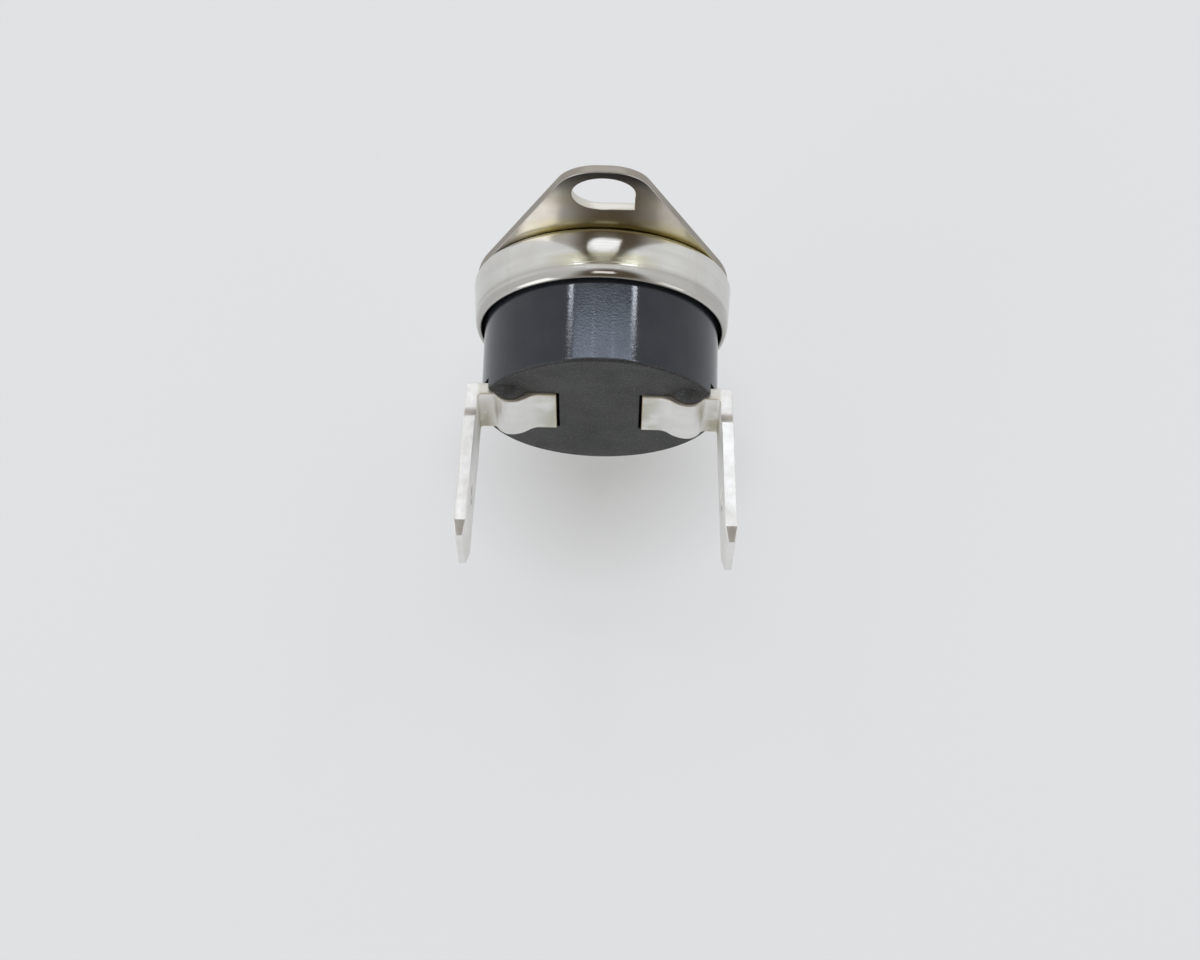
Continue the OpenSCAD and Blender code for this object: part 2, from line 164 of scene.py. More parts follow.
def section(corners):
    """A section from corners (radius, height, rounding)."""
    points = []
    for k, (r, h, rounding) in enumerate(corners):
        if rounding:
            before, after = corners[k - 1], corners[(k + 1) % len(corners)]
            points += round_corner(before[:2], (r, h), after[:2], rounding)
        else:
            points.append((r, h))
    return points


def turned(name, points, sides=160, closed=True):
    """Turns a section about the part's axis, ring by ring."""
    put_down()
    r, h = points[0]
    bpy.ops.mesh.primitive_circle_add(vertices=sides, radius=r * MM, location=(0, -h * MM, 0),
                                      rotation=(math.pi / 2, 0, 0))
    piece = started(name)
    bpy.ops.object.mode_set(mode="EDIT")
    if not closed:
        bpy.ops.mesh.edge_face_add()
    for r2, h2 in points[1:] + (points[:1] if closed else []):
        bpy.ops.mesh.extrude_region_move(TRANSFORM_OT_translate={"value": (0, -(h2 - h) * MM, 0)})
        bpy.ops.transform.resize(value=(r2 / r, 1, r2 / r))
        r, h = r2, h2
    bpy.ops.object.mode_set(mode="OBJECT")
    settle(piece)
    outward(piece)
    return piece


def block(name, low, high):
    """A block between two corners, given as (x, height, z)."""
    put_down()
    bpy.ops.mesh.primitive_cube_add(size=1, location=[(low[0] + high[0]) / 2 * MM, -(low[1] + high[1]) / 2 * MM,
                                                     (low[2] + high[2]) / 2 * MM])
    piece = started(name)
    bpy.ops.transform.resize(value=[abs(high[k] - low[k]) * MM for k in range(3)])
    settle(piece)
    return piece


def rod(name, x, z, radius, low, high, sides=64):
    """A rod square to the seating face."""
    put_down()
    bpy.ops.mesh.primitive_cylinder_add(vertices=sides, radius=radius * MM, depth=(high - low) * MM,
                                        location=(x * MM, -(low + high) / 2 * MM, z * MM),
                                        rotation=(math.pi / 2, 0, 0))
    piece = started(name)
    settle(piece)
    return piece


# The pieces that show

def moulded_case():
    """Black case: turned form, terminal slots with their ridges, cheeks, the leaf's post and the stud holes."""
    case = turned("moulded_case", section([
        (BORE_R, SHELF, 0), (SHOULDER_R, SHELF, 0.1), (SHOULDER_R, SHOULDER, 0.05),
        (CASE_R, SHOULDER + 0.3, 0), (CASE_R, CASE_TOP, CASE_EDGE), (0.5, CASE_TOP, 0),
        (0.5, FLOOR, 0), (CHAMBER_R, FLOOR, 0.15), (CHAMBER_R, GUIDE_BACK, 0),
        (BORE_R, GUIDE_BACK, 0)]), sides=192)
    combine(case, rod("plug", 0, 0, 0.6, FLOOR, CASE_TOP, 32), "UNION")
    for side in (-1, 1):
        combine(case, slot_cutter(side), "DIFFERENCE")
        half = SLOT_HALF + RELIEF_SIDE
        combine(case, block("relief", (side * (HUMP_X + HUMP_FALL), SLOT - RELIEF_DEPTH, -half),
                            (side * 12, 12, half)), "DIFFERENCE")
        for up in (-1, 1):
            combine(case, cheek(side, up), "UNION")
    combine(case, rod("post", -LEAF_STUD_X, 0, WASHER_R, LEAF + 0.2, FLOOR + 0.4, 64), "UNION")
    for x in (-LEAF_STUD_X, BRACKET_STUD_X):
        combine(case, rod("stud_hole", x, 0, STUD_R, 0, 12, 64), "DIFFERENCE")
    soften(case, 0.05)
    return case


def slot_cutter(side):
    """What a terminal's slot takes out of the case: a block without the ridge under the hump."""
    cutter = block("slot", (side * (BASE_START - 0.2), SLOT, -SLOT_HALF), (side * 12, 12, SLOT_HALF))
    angle = 2 * math.atan(HUMP_H / HUMP_RISE)
    rise_r = HUMP_RISE / 2 / math.sin(angle) - TAB_T / 2
    put_down()
    bpy.ops.mesh.primitive_cylinder_add(
        vertices=96, radius=(rise_r - 0.08) * MM, depth=(2 * SLOT_HALF + 1) * MM,
        location=(side * HUMP_X * MM, -(SLOT + HUMP_H - rise_r) * MM, 0))
    ridge = started("ridge")
    settle(ridge)
    combine(ridge, block("half", (side * HUMP_X, 0, -9), (side * 14, 20, 9)), "DIFFERENCE")
    combine(cutter, ridge, "DIFFERENCE")
    return cutter


def cheek(side, up):
    """Rounded cheek beside a terminal's hump."""
    half, height = 1.05, 0.55
    radius = (half * half + height * height) / (2 * height)
    put_down()
    bpy.ops.mesh.primitive_uv_sphere_add(segments=64, ring_count=32, radius=radius * MM,
                                         location=(side * HUMP_X * MM, -(CASE_TOP + height - radius) * MM,
                                                   up * SLOT_HALF * MM), rotation=(math.pi / 2, 0, 0))
    dome = started("cheek")
    settle(dome)
    combine(dome, rod("round", 0, 0, CASE_R - 0.02, CASE_TOP - 0.02, CASE_TOP + 2, 160), "INTERSECT")
    combine(dome, block("away", (side * 2, 8, 0), (side * 12, 13, up * (SLOT_HALF + 0.001))), "DIFFERENCE")
    return dome


def crimped_cap():
    """Drawn cap: boss, flange, tapered wall and the rim rolled over the shoulder."""
    cap = turned("crimped_cap", cap_points(), sides=192, closed=False)
    take(cap)
    bpy.ops.object.shade_smooth_by_angle(angle=math.radians(40))
    even_shading(cap)
    return cap


def cap_points():
    """Section of the cap's sheet from the middle of the boss out, round the rim and back."""
    t, taper, steep, crimp_r, bend = 0.3, math.radians(4), math.radians(28), 1.4, 0.1
    rim = SHOULDER + 0.7
    outer = SHOULDER_R + 0.05 + t / math.cos(taper) + (SHOULDER - PLATE_FRONT) * math.tan(taper)

    def wall(h):
        return outer - (h - PLATE_FRONT) * math.tan(taper)

    def arc(centre, radius, start, end, steps=8):
        return [(centre[0] + radius * math.cos(start + (end - start) * k / steps),
                 centre[1] + radius * math.sin(start + (end - start) * k / steps)) for k in range(steps + 1)]

    big = bend + t
    corner = (wall(PLATE_FRONT + big) - big / math.cos(taper), PLATE_FRONT + big)
    crimp_h = rim - crimp_r * (math.sin(steep) - math.sin(taper))
    curl = (wall(crimp_h) - crimp_r * math.cos(taper), crimp_h - crimp_r * math.sin(taper))
    mid, lip = (crimp_r - t / 2), t / 2
    lip_centre = (curl[0] + mid * math.cos(steep), curl[1] + mid * math.sin(steep))
    boss, boss_in = 6.1, 5.8
    return ([(0.4, 0), (5.0, 0)] + round_corner((0, 0), (boss, 0), (boss, PLATE_FRONT), 0.18)
            + round_corner((boss, 0), (boss, PLATE_FRONT), (8, PLATE_FRONT), 0.05)
            + arc(corner, big, -math.pi / 2, taper)
            + arc(curl, crimp_r, taper, steep)
            + arc(lip_centre, lip, steep, steep + math.pi)[1:-1]
            + arc(curl, crimp_r - t, steep, taper)
            + arc(corner, bend, taper, -math.pi / 2)
            + [(boss_in, SHELF), (boss_in, t), (0.4, t)])


def mounting_plate():
    """Flat plate: a round middle with a round-cornered ear at each end, and punched holes."""
    corner = math.hypot(EAR_TIP_W / 2, EAR_END)
    flank = math.atan2(EAR_END, EAR_TIP_W / 2) - math.acos(PLATE_R / corner)
    away = Vector((math.cos(flank), math.sin(flank)))
    up_z = EAR_END - EAR_TIP_R
    in_x = (PLATE_R - EAR_TIP_R) / away.x - up_z * math.tan(flank)
    put_down()
    bpy.ops.mesh.primitive_circle_add(vertices=360, radius=PLATE_R * MM, location=(0, -PLATE_BACK * MM, 0),
                                      rotation=(math.pi / 2, 0, 0))
    plate = started("punched_plate")
    settle(plate)
    mark_points(plate, lambda p: abs(p.z) > PLATE_R * away.y + 0.05)
    bpy.ops.mesh.delete(type="VERT")
    bpy.ops.object.mode_set(mode="OBJECT")
    for up in (-1, 1):
        for side in (-1, 1):
            ends = [v.co.copy() / MM for v in plate.data.vertices if v.co.x * side > 0 and v.co.z * up > 0]
            end = max(ends, key=lambda place: place.z * up)
            flank_end = Vector((in_x + EAR_TIP_R * away.x, up_z + EAR_TIP_R * away.y))
            mark_points(plate, lambda p: (p - end).length < 1e-4)
            bpy.ops.mesh.extrude_vertices_move(TRANSFORM_OT_translate={
                "value": ((side * flank_end.x - end.x) * MM, 0, (up * flank_end.y - end.z) * MM)})
            bpy.ops.mesh.spin(steps=14, angle=math.pi / 2 - flank, axis=(0, side * up, 0),
                              center=(side * in_x * MM, -PLATE_BACK * MM, up * up_z * MM))
            bpy.ops.object.mode_set(mode="OBJECT")
    mark_points(plate, lambda p: True)
    bpy.ops.mesh.remove_doubles(threshold=1e-7)
    bpy.ops.object.mode_set(mode="OBJECT")
    for up in (-1, 1):
        mark_points(plate, lambda p: p.z * up > EAR_END - 0.0005)
        bpy.ops.mesh.edge_face_add()
    bpy.ops.mesh.select_all(action="SELECT")
    bpy.ops.mesh.edge_face_add()
    bpy.ops.mesh.extrude_region_move(TRANSFORM_OT_translate={"value": (0, -(PLATE_FRONT - PLATE_BACK) * MM, 0)})
    bpy.ops.object.mode_set(mode="OBJECT")
    outward(plate)
    combine(plate, rod("boss_hole", 0, 0, 6.15, -1, 2, 160), "DIFFERENCE")
    for up in (-1, 1):
        combine(plate, rod("hole", 0, up * HOLE_Z, HOLE_R, -1, 2, 96), "DIFFERENCE")
        reach = 0.98 * HOLE_R
        combine(plate, block("corner", (0, -1, up * HOLE_Z), (up * reach, 2, up * (HOLE_Z - reach))), "DIFFERENCE")
    soften(plate, 0.05, segments=3)
    return plate


def bent_terminal(name, side):
    """One strip: flat on the case, over its hump, round the nearly square bend and up into the wider tab."""
    put_down()
    middle = SLOT + TAB_T / 2
    bpy.ops.mesh.primitive_plane_add(size=1, location=(BASE_START * MM, -middle * MM, 0),
                                     rotation=(0, math.pi / 2, 0))
    strip = started(name)
    bpy.ops.transform.resize(value=(1, TAB_T * MM, BASE_W * MM))
    bpy.ops.object.mode_set(mode="EDIT")
    bpy.ops.mesh.select_all(action="SELECT")
    at, lean = Vector((BASE_START, middle)), 0.0

    def run(length):
        nonlocal at
        step = Vector((math.cos(lean), math.sin(lean))) * length
        bpy.ops.mesh.extrude_region_move(TRANSFORM_OT_translate={"value": (step.x * MM, -step.y * MM, 0)})
        at = at + step

    def bend(inside, turn, steps):
        nonlocal at, lean
        away = 1 if turn > 0 else -1
        radius = inside + TAB_T / 2
        centre = at + away * radius * Vector((-math.sin(lean), math.cos(lean)))
        bpy.ops.mesh.spin(steps=steps, angle=abs(turn), center=(centre.x * MM, -centre.y * MM, 0),
                          axis=(0, 0, away))
        lean += turn
        at = centre - away * radius * Vector((-math.sin(lean), math.cos(lean)))

    run(BASE_FLAT)
    for length, start in ((HUMP_RISE, 1), (HUMP_FALL, -1)):
        angle = 2 * math.atan(HUMP_H / length)
        radius = length / 2 / math.sin(angle) - TAB_T / 2
        for turn in (start, -start):
            bend(radius, turn * angle, 10)
    face, steep = SLOT + TAB_T, math.tan(math.radians(TAB_LEAN))
    bend_end = SLOT + (BEND_R + TAB_T) * (1 - math.sin(math.radians(TAB_LEAN)))

    def outside(height):
        return TAB_OUT + (height - bend_end) * steep

    thick = TAB_T / math.cos(math.radians(TAB_LEAN))
    run(outside(face) - thick - at.x)
    run(outside(SLOT) - at.x)
    mark_points(strip, lambda p: p.x > outside(SLOT) - 0.001 and -p.y > face - 0.001)
    bpy.ops.transform.translate(value=((outside(face) - outside(SLOT)) * MM, 0, 0))
    mark_points(strip, lambda p: p.x > outside(face) - thick - 0.001 and -p.y > face - 0.001)
    height, half, thickness = face, BASE_W / 2, 1.0

    def rise(to_height, to_half, to_thickness=1.0):
        nonlocal height, half, thickness
        bpy.ops.mesh.extrude_region_move(TRANSFORM_OT_translate={
            "value": ((to_height - height) * steep * MM, -(to_height - height) * MM, 0)})
        bpy.ops.transform.resize(value=(to_thickness / thickness, 1, to_half / half))
        height, half, thickness = to_height, to_half, to_thickness

    scoop_end = math.acos(1 - (TAB_W - BASE_W) / 2 / SCOOP_R)
    scoop = TAB_SHOULDER - SCOOP_R * math.sin(scoop_end)
    rise(scoop, half)
    for k in range(1, 9):
        turn = scoop_end * k / 8
        rise(scoop + SCOOP_R * math.sin(turn), BASE_W / 2 + SCOOP_R * (1 - math.cos(turn)))
    rise(TAB_TIP - TIP_CHAMFER, TAB_W / 2)
    rise(TAB_TIP, TAB_W / 2 - TIP_NARROW, TIP_T / TAB_T)
    bpy.ops.object.mode_set(mode="OBJECT")
    settle(strip)
    outward(strip)
    for x, h, radius in ((outside(face) - thick, face, BEND_R), (outside(SLOT), SLOT, BEND_CORNER)):
        mark_points(strip, lambda p: abs(p.x - x) < 0.001 and abs(-p.y - h) < 0.001)
        bpy.ops.mesh.select_mode(type="EDGE")
        bpy.ops.mesh.bevel(offset_type="OFFSET", offset=radius * MM, segments=6, affect="EDGES")
    put_down()
    bpy.ops.mesh.primitive_cylinder_add(vertices=64, radius=0.85 * MM, depth=6 * MM,
                                        location=(9 * MM, -(TAB_TIP - 4.1) * MM, 0),
                                        rotation=(0, math.pi / 2, 0))
    detent = started("detent")
    settle(detent)
    combine(strip, detent, "DIFFERENCE")
    soften(strip, 0.07, segments=3)
    if side < 0:
        take(strip)
        bpy.ops.transform.mirror(constraint_axis=(True, False, False))
        settle(strip)
        outward(strip)
    return strip


def span(node, axis):
    """How far a CAD node reaches along an axis, in millimetres."""
    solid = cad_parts[node]
    places = [(solid.matrix_world @ v.co)[axis] / MM for v in solid.data.vertices]
    return min(places), max(places)


def crowned_pin():
    """Ceramic pin with chamfered ends, its tip a little crowned for the leaf to roll on."""
    tip, foot = (-y for y in span("push_pin", 1))
    crown = [(PIN_R - PIN_CHAMFER) * k / 6 for k in range(6, 0, -1)]
    points = [(0.02, foot), (PIN_R - PIN_CHAMFER, foot), (PIN_R, foot + PIN_CHAMFER), (PIN_R, tip - PIN_CHAMFER)]
    points += [(r, tip - r * r / (2 * CROWN_R)) for r in crown] + [(0.02, tip)]
    pin = turned("ceramic_pin", points, sides=48)
    soften(pin, 0.03)
    return pin


def bending_leaf():
    """Springy strip with a round pad round each rivet, in 80 short lengths along it."""
    contact_x = sum(span("moving_contact", 0)) / 2
    put_down()
    bpy.ops.mesh.primitive_grid_add(x_subdivisions=80, y_subdivisions=1, size=1, rotation=(math.pi / 2, 0, 0),
                                    location=((contact_x - LEAF_STUD_X) / 2 * MM, -LEAF * MM, 0))
    leaf = started("bending_leaf")
    bpy.ops.transform.resize(value=((contact_x + LEAF_STUD_X) * MM, 1, LEAF_W * MM))
    settle(leaf)
    mark_points(leaf, lambda p: True)
    bpy.ops.mesh.extrude_region_move(TRANSFORM_OT_translate={"value": (0, -LEAF_T * MM, 0)})
    bpy.ops.object.mode_set(mode="OBJECT")
    outward(leaf)
    for x, pad, hole in ((-LEAF_STUD_X, WASHER_R, STUD_R), (contact_x, CONTACT_R, CONTACT_R / 2 + 0.02)):
        combine(leaf, rod("pad", x, 0, pad + PAD_RIM, LEAF, LEAF + LEAF_T), "UNION")
        combine(leaf, rod("hole", x, 0, hole, LEAF - 1, LEAF + 1), "DIFFERENCE")
    soften(leaf, 0.02)
    return leaf


# Nodes of the materials

def link(tree, value, socket):
    """Feeds a socket from another socket, or sets its value."""
    if isinstance(value, bpy.types.NodeSocket):
        tree.links.new(value, socket)
    elif value is not None:
        socket.default_value = value


def put(tree, kind, values=(), out=0, **settings):
    """Adds a node with its settings and inputs, and gives one output back."""
    n = tree.nodes.new(kind)
    for key, value in settings.items():
        setattr(n, key, value)
    for key, value in dict(values).items():
        link(tree, value, n.inputs[key])
    return n.outputs[out]


def maths(tree, how, a, b=None, c=None):
    return put(tree, "ShaderNodeMath", {k: v for k, v in enumerate((a, b, c)) if v is not None}, operation=how)


def blend_colour(tree, factor, a, b):
    n = tree.nodes.new("ShaderNodeMix")
    n.data_type = "RGBA"
    link(tree, factor, n.inputs[0])
    link(tree, a, n.inputs[6])
    link(tree, b, n.inputs[7])
    return n.outputs[2]


def between(tree, value, low, high, to_low=0.0, to_high=1.0):
    return put(tree, "ShaderNodeMapRange",
               {"Value": value, "From Min": low, "From Max": high, "To Min": to_low, "To Max": to_high})


def new_group(name, inputs, outputs):
    group = bpy.data.node_groups.new(name, "ShaderNodeTree")
    for title, kind, value in inputs:
        socket = group.interface.new_socket(title, in_out="INPUT", socket_type=kind)
        if value is not None:
            socket.default_value = value
    for title, kind in outputs:
        group.interface.new_socket(title, in_out="OUTPUT", socket_type=kind)
    return group, group.nodes.new("NodeGroupInput"), group.nodes.new("NodeGroupOutput")


def use_group(tree, group, values):
    n = tree.nodes.new("ShaderNodeGroup")
    n.node_tree = group
    for key, value in values.items():
        link(tree, value, n.inputs[key])
    return n.outputs


def grain_group():
    """Fine even grain: a height for bump and a mask of its coarser patches."""
    group, given, result = new_group(
        "Surface grain", [("Vector", "NodeSocketVector", None), ("Grain per metre", "NodeSocketFloat", 6000.0)],
        [("Height", "NodeSocketFloat"), ("Patches", "NodeSocketFloat")])
    fine = put(group, "ShaderNodeTexNoise", {"Vector": given.outputs[0], "Scale": given.outputs[1], "Detail": 4.0})
    coarse = put(group, "ShaderNodeTexNoise",
                 {"Vector": given.outputs[0], "Scale": maths(group, "MULTIPLY", given.outputs[1], 0.08),
                  "Detail": 3.0})
    link(group, fine, result.inputs[0])
    link(group, between(group, coarse, 0.35, 0.65), result.inputs[1])
    return group


def turning_lines_group():
    """Fine rings round the part's axis, as drawing and brushing leave them."""
    group, given, result = new_group(
        "Rings from drawing", [("Vector", "NodeSocketVector", None), ("Lines per metre", "NodeSocketFloat", 9000.0)],
        [("Height", "NodeSocketFloat"), ("Bands", "NodeSocketFloat")])
    split = group.nodes.new("ShaderNodeSeparateXYZ")
    link(group, given.outputs[0], split.inputs[0])
    x, y, z = split.outputs
    radius = maths(group, "SQRT", maths(group, "ADD", maths(group, "MULTIPLY", x, x), maths(group, "MULTIPLY", z, z)))
    angle = maths(group, "ARCTAN2", x, z)
    place = put(group, "ShaderNodeCombineXYZ", {0: radius, 1: y, 2: maths(group, "MULTIPLY", angle, 0.00025)})
    fine = put(group, "ShaderNodeTexNoise", {"Vector": place, "Scale": given.outputs[1], "Detail": 5.0})
    wide = put(group, "ShaderNodeTexNoise",
               {"Vector": place, "Scale": maths(group, "MULTIPLY", given.outputs[1], 0.2), "Detail": 3.0})
    link(group, fine, result.inputs[0])
    link(group, between(group, wide, 0.3, 0.7), result.inputs[1])
    return group


def smudge_group():
    """Marks of handling: soft cloudy patches and a few short scratches."""
    group, given, result = new_group(
        "Handling marks", [("Vector", "NodeSocketVector", None), ("Size", "NodeSocketFloat", 500.0)],
        [("Smudge", "NodeSocketFloat"), ("Scratches", "NodeSocketFloat")])
    cloud = put(group, "ShaderNodeTexNoise",
                {"Vector": given.outputs[0], "Scale": given.outputs[1], "Detail": 6.0, "Roughness": 0.6})
    warped = put(group, "ShaderNodeMapping", {"Vector": given.outputs[0], "Rotation": (0.3, 0.7, 0.5),
                                              "Scale": (1.0, 14.0, 14.0)})
    lines = put(group, "ShaderNodeTexNoise",
                {"Vector": warped, "Scale": maths(group, "MULTIPLY", given.outputs[1], 1.3), "Detail": 2.0})
    link(group, between(group, cloud, 0.38, 0.66), result.inputs[0])
    link(group, between(group, lines, 0.66, 0.72), result.inputs[1])
    return group


GRAIN, RINGS, MARKS = grain_group(), turning_lines_group(), smudge_group()


def new_finish(name):
    """An empty material with its shader, and Object coordinates."""
    m = bpy.data.materials.new(name)
    m.use_nodes = True
    tree = m.node_tree
    tree.nodes.clear()
    shader = tree.nodes.new("ShaderNodeBsdfPrincipled")
    out = tree.nodes.new("ShaderNodeOutputMaterial")
    tree.links.new(shader.outputs[0], out.inputs[0])
    place = put(tree, "ShaderNodeTexCoord", out=3)
    return m, tree, shader, place


def raise_surface(tree, shader, height, distance, strength=1.0):
    link(tree, put(tree, "ShaderNodeBump", {"Height": height, "Distance": distance, "Strength": strength}),
         shader.inputs["Normal"])


def black_phenolic():
    """Moulded phenolic: glossier side, matt end with fine pale specks of filler."""
    m, tree, shader, place = new_finish("black_phenolic")
    height, patches = use_group(tree, GRAIN, {"Vector": place, "Grain per metre": 7000.0})
    smudge, scratches = use_group(tree, MARKS, {"Vector": place, "Size": 420.0})
    split = tree.nodes.new("ShaderNodeSeparateXYZ")
    link(tree, place, split.inputs[0])
    end = between(tree, split.outputs[1], -0.0098, -0.01, 0.0, 1.0)
    specks = put(tree, "ShaderNodeTexVoronoi", {"Vector": place, "Scale": 5200.0}, out=0)
    specks = maths(tree, "MULTIPLY", between(tree, specks, 0.34, 0.2), end)
    base = blend_colour(tree, patches, (0.019, 0.021, 0.026, 1), (0.027, 0.029, 0.034, 1))
    base = blend_colour(tree, end, base, blend_colour(tree, smudge, (0.030, 0.029, 0.026, 1),
                                                      (0.044, 0.042, 0.038, 1)))
    base = blend_colour(tree, maths(tree, "MULTIPLY", specks, 0.4), base, (0.16, 0.16, 0.155, 1))
    x, y, z = split.outputs
    radius = maths(tree, "SQRT", maths(tree, "ADD", maths(tree, "MULTIPLY", x, x), maths(tree, "MULTIPLY", z, z)))
    # Painted shade: surfaces within 7.8 mm of the axis and set back behind the end face, as in the slots, are painted
    # near black and made fully rough.
    recess_painted_dark = maths(tree, "MULTIPLY", between(tree, radius, 0.00782, 0.00775), between(tree, y, -0.00998, -0.0099))
    base = blend_colour(tree, recess_painted_dark, base, (0.004, 0.003, 0.003, 1))
    link(tree, base, shader.inputs["Base Color"])
    shader.inputs["Specular Tint"].default_value = (0.84, 0.90, 1.0, 1)
    side_gloss = maths(tree, "ADD", maths(tree, "MULTIPLY", smudge, 0.05), 0.07)
    end_gloss = maths(tree, "ADD", maths(tree, "MULTIPLY", patches, 0.1), 0.46)
    rough = put(tree, "ShaderNodeMix", {0: end, 2: side_gloss, 3: end_gloss})
    rough = maths(tree, "MAXIMUM", rough, recess_painted_dark)
    link(tree, maths(tree, "ADD", rough, maths(tree, "MULTIPLY", scratches, 0.06)), shader.inputs["Roughness"])
    raise_surface(tree, shader, maths(tree, "MULTIPLY", height, maths(tree, "ADD", maths(tree, "MULTIPLY", end, 0.8),
                                                                      0.2)), 0.000012)
    return m


def nickel_cap():
    """Drawn sheet with satin nickel plate, brushed in rings."""
    m, tree, shader, place = new_finish("satin_nickel")
    rings, bands = use_group(tree, RINGS, {"Vector": place, "Lines per metre": 9000.0})
    smudge, scratches = use_group(tree, MARKS, {"Vector": place, "Size": 300.0})
    base = blend_colour(tree, bands, (0.70, 0.69, 0.66, 1), (0.79, 0.78, 0.75, 1))
    base = blend_colour(tree, maths(tree, "MULTIPLY", smudge, 0.5), base, (0.62, 0.60, 0.55, 1))
    split = tree.nodes.new("ShaderNodeSeparateXYZ")
    link(tree, place, split.inputs[0])
    at_rim = between(tree, split.outputs[1], -0.0030, -0.0034)
    rolled = use_group(tree, RINGS, {"Vector": place, "Lines per metre": 2600.0})[0]
    # The rings on the rolled rim also get a relief below; their dark colour here is a painted reflection, stripes that
    # stand in for the dim zones the rim mirrors.
    base = blend_colour(tree, maths(tree, "MULTIPLY", maths(tree, "MULTIPLY", rolled, at_rim), 0.85), base,
                        (0.30, 0.285, 0.26, 1))
    # Painted reflection: a yellowish tone on the cap's wall where it faces the ears, top and bottom, about 2.4 to 3.6
    # mm from the seating face.
    ring = maths(tree, "MULTIPLY", between(tree, split.outputs[1], -0.0024, -0.0027),
                 between(tree, split.outputs[1], -0.0036, -0.0032))
    ear_reflection_tint = maths(tree, "MULTIPLY", ring, between(tree, maths(tree, "ABSOLUTE", split.outputs[2]), 0.0076, 0.0084))
    base = blend_colour(tree, maths(tree, "MULTIPLY", ear_reflection_tint, 0.8), base, (0.60, 0.57, 0.41, 1))
    link(tree, base, shader.inputs["Base Color"])
    shader.inputs["Metallic"].default_value = 1.0
    rough = maths(tree, "ADD", maths(tree, "MULTIPLY", smudge, 0.05), 0.11)
    link(tree, maths(tree, "ADD", rough, maths(tree, "MULTIPLY", scratches, 0.08)), shader.inputs["Roughness"])
    rolled = maths(tree, "MULTIPLY", maths(tree, "MULTIPLY", rolled, at_rim), 0.4)
    height = maths(tree, "ADD", maths(tree, "MULTIPLY", rings, 0.05), rolled)
    raise_surface(tree, shader, height, 0.000025)
    return m


def bright_plate():
    """Bright rolled sheet with fine rolling lines along the plate."""
    m, tree, shader, place = new_finish("rolled_steel")
    drawn = put(tree, "ShaderNodeMapping", {"Vector": place, "Scale": (1.0, 1.0, 0.06)})
    height, patches = use_group(tree, GRAIN, {"Vector": drawn, "Grain per metre": 6000.0})
    smudge, scratches = use_group(tree, MARKS, {"Vector": place, "Size": 260.0})
    base = blend_colour(tree, patches, (0.54, 0.515, 0.49, 1), (0.63, 0.605, 0.58, 1))
    base = blend_colour(tree, maths(tree, "MULTIPLY", smudge, 0.6), base, (0.48, 0.43, 0.37, 1))
    split = tree.nodes.new("ShaderNodeSeparateXYZ")
    link(tree, place, split.inputs[0])
    x, y, z = split.outputs
    radius = maths(tree, "SQRT", maths(tree, "ADD", maths(tree, "MULTIPLY", x, x), maths(tree, "MULTIPLY", z, z)))
    band = maths(tree, "MULTIPLY", between(tree, radius, 0.0106, 0.0090), between(tree, x, -0.0065, -0.0035))
    band = maths(tree, "MULTIPLY", band, between(tree, y, -0.0003, -0.0005))
    base = blend_colour(tree, maths(tree, "MULTIPLY", band, 0.9), base, (0.52, 0.46, 0.24, 1))
    shader.inputs["Metallic"].default_value = 1.0
    facing = tree.nodes.new("ShaderNodeSeparateXYZ")
    link(tree, put(tree, "ShaderNodeTexCoord", out=1), facing.inputs[0])
    punched = between(tree, maths(tree, "ABSOLUTE", facing.outputs[1]), 0.5, 0.2)
    outside = maths(tree, "MAXIMUM", between(tree, maths(tree, "ABSOLUTE", z), 0.01506, 0.01509),
                    between(tree, maths(tree, "ABSOLUTE", x), 0.00206, 0.00209))
    edge = blend_colour(tree, outside, (0.76, 0.73, 0.66, 1), (0.38, 0.345, 0.30, 1))
    base = blend_colour(tree, punched, base, edge)
    link(tree, base, shader.inputs["Base Color"])
    gloss = maths(tree, "ADD", maths(tree, "MULTIPLY", smudge, 0.1), 0.14)
    link(tree, maths(tree, "ADD", gloss, maths(tree, "MULTIPLY", punched, 0.26)), shader.inputs["Roughness"])
    raise_surface(tree, shader, height, 0.000003)
    return m


